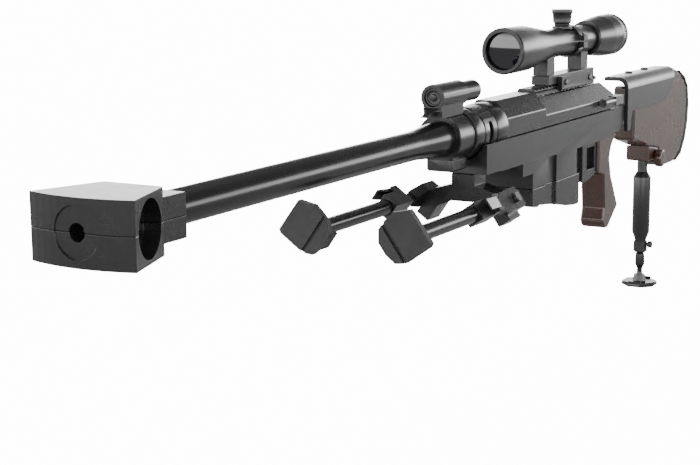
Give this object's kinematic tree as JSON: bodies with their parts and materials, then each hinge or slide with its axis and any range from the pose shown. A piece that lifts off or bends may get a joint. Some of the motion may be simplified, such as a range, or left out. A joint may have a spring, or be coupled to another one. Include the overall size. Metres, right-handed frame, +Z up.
{
  "type": "display rifle replica",
  "caption": "Solid non-firing display replica of a long rifle, with a folding bipod, adjustable cheek rest, rear monopod and a sighting telescope.",
  "frame": {"origin": "centre of the flat face under the front of the chassis that a display saddle holds", "axes": "+X back along the barrel from muzzle to butt, +Y to the right-hand side, +Z up"},
  "size_m": [1.362, 0.1624, 0.3963],
  "materials": {
    "dark_metal": "satin near-black coating",
    "dark_aluminium": "satin near-black anodised",
    "bare_steel": "satin steel",
    "brown_polymer": "dark brown, satin to gloss",
    "rubber": "matte black",
    "lens_glass": "dark coated glass"
  },
  "bodies": {
    "body": {"muzzle_block_upper": "dark_metal", "muzzle_block_lower": "dark_metal", "barrel_rod": "dark_metal", "front_ring": "dark_metal", "sight_housing": "dark_aluminium", "sight_front_insert": "dark_aluminium", "collar_front": "dark_metal", "collar_slotted": "dark_metal", "collar_rear": "dark_metal", "receiver": "dark_metal", "side_peg": "bare_steel", "chassis": "dark_aluminium", "magazine_block": "dark_metal", "guard_frame": "dark_metal", "trigger_dummy": "bare_steel", "grip": "brown_polymer", "stock": "brown_polymer", "butt_plate": "dark_metal", "butt_pad": "rubber", "monopod_bracket": "brown_polymer", "monopod_sleeve": "dark_aluminium", "accessory_rail": "dark_aluminium", "mount_base": "dark_aluminium", "mount_side_clamp": "dark_aluminium", "mount_screw_front": "bare_steel", "mount_screw_rear": "bare_steel", "mount_post_front": "dark_aluminium", "mount_post_rear": "dark_aluminium", "scope_ring": "dark_aluminium", "scope_ring_screw": "bare_steel", "scope_body": "dark_aluminium", "objective_lens": "lens_glass", "erector_tube": "dark_aluminium", "eyepiece_housing": "dark_aluminium", "bipod_yoke": "dark_metal"},
    "cheek_rest": {"cheek_rest": "dark_aluminium", "cheek_post_front": "bare_steel", "cheek_post_rear": "bare_steel", "cheek_screw_front": "dark_metal", "cheek_screw_rear": "dark_metal"},
    "monopod_leg": {"monopod_rod": "dark_metal"},
    "monopod_foot": {"monopod_foot": "dark_metal"},
    "monopod_thumbscrew": {"monopod_thumbscrew": "dark_aluminium"},
    "monopod_lock_knob": {"monopod_lock_knob": "brown_polymer"},
    "elevation_knob": {"elevation_knob": "dark_aluminium"},
    "windage_knob": {"windage_knob": "dark_aluminium"},
    "focus_ring": {"focus_ring": "dark_aluminium", "eyepiece_lens": "lens_glass"},
    "left_leg": {"leg_arm_left": "dark_metal", "hinge_bolt_left": "bare_steel"},
    "left_leg_tube": {"leg_tube_left": "dark_aluminium", "leg_clamp_left": "dark_aluminium"},
    "left_clamp_lever": {"clamp_lever_left": "dark_metal"},
    "left_foot": {"bipod_foot_left": "rubber"},
    "right_leg": {"leg_arm_right": "dark_metal", "hinge_bolt_right": "bare_steel"},
    "right_leg_tube": {"leg_tube_right": "dark_aluminium", "leg_clamp_right": "dark_aluminium"},
    "right_clamp_lever": {"clamp_lever_right": "dark_metal"},
    "right_foot": {"bipod_foot_right": "rubber"}
  },
  "joints": [
    {"name": "left_leg_fold", "type": "hinge", "parent": "body", "child": "left_leg", "pos_m": [-0.0465, -0.049, -0.0276], "axis": [0, -0.8192, 0.5736], "range_deg": [0, 90]},
    {"name": "left_leg_extend", "type": "slide", "parent": "left_leg", "child": "left_leg_tube", "axis": [-1, 0, 0], "range_m": [0, 0.08]},
    {"name": "left_clamp_lever", "type": "hinge", "parent": "left_leg_tube", "child": "left_clamp_lever", "pos_m": [-0.1065, -0.0603, -0.01969], "axis": [0, 0.5736, 0.8192], "range_deg": [0, 90]},
    {"name": "left_foot_tilt", "type": "hinge", "parent": "left_leg_tube", "child": "left_foot", "pos_m": [-0.2825, -0.049, -0.0276], "axis": [0, 0.5736, 0.8192], "range_deg": [-35, 35]},
    {"name": "right_leg_fold", "type": "hinge", "parent": "body", "child": "right_leg", "pos_m": [-0.0465, 0.049, -0.0276], "axis": [0, -0.8192, -0.5736], "range_deg": [0, 90]},
    {"name": "right_leg_extend", "type": "slide", "parent": "right_leg", "child": "right_leg_tube", "axis": [-1, 0, 0], "range_m": [0, 0.08]},
    {"name": "right_clamp_lever", "type": "hinge", "parent": "right_leg_tube", "child": "right_clamp_lever", "pos_m": [-0.1065, 0.0603, -0.01969], "axis": [0, 0.5736, -0.8192], "range_deg": [0, 90]},
    {"name": "right_foot_tilt", "type": "hinge", "parent": "right_leg_tube", "child": "right_foot", "pos_m": [-0.2825, 0.049, -0.0276], "axis": [0, -0.5736, 0.8192], "range_deg": [-35, 35]},
    {"name": "cheek_rest_height", "type": "slide", "parent": "body", "child": "cheek_rest", "axis": [0, 0, 1], "range_m": [0, 0.02]},
    {"name": "monopod_extend", "type": "slide", "parent": "body", "child": "monopod_leg", "axis": [0, 0, -1], "range_m": [0, 0.05]},
    {"name": "monopod_foot_tilt", "type": "hinge", "parent": "monopod_leg", "child": "monopod_foot", "pos_m": [0.5155, 0, -0.2216], "axis": [0, 1, 0], "range_deg": [-20, 20]},
    {"name": "monopod_thumbscrew_turn", "type": "hinge", "parent": "body", "child": "monopod_thumbscrew", "pos_m": [0.5155, -0.0054, -0.1771], "axis": [0, -1, 0], "range_deg": [0, 180]},
    {"name": "monopod_lock_turn", "type": "hinge", "parent": "body", "child": "monopod_lock_knob", "pos_m": [0.5235, -0.0163, -0.0561], "axis": [0, -1, 0], "range_deg": [0, 180]},
    {"name": "elevation_turn", "type": "hinge", "parent": "body", "child": "elevation_knob", "pos_m": [0.2105, 0, 0.1412], "axis": [0, 0, 1], "range_deg": [-180, 180]},
    {"name": "windage_turn", "type": "hinge", "parent": "body", "child": "windage_knob", "pos_m": [0.2105, 0.019, 0.1222], "axis": [0, 1, 0], "range_deg": [-180, 180]},
    {"name": "focus_turn", "type": "hinge", "parent": "body", "child": "focus_ring", "pos_m": [0.3528, 0, 0.1222], "axis": [1, 0, 0], "range_deg": [-180, 180]}
  ]
}
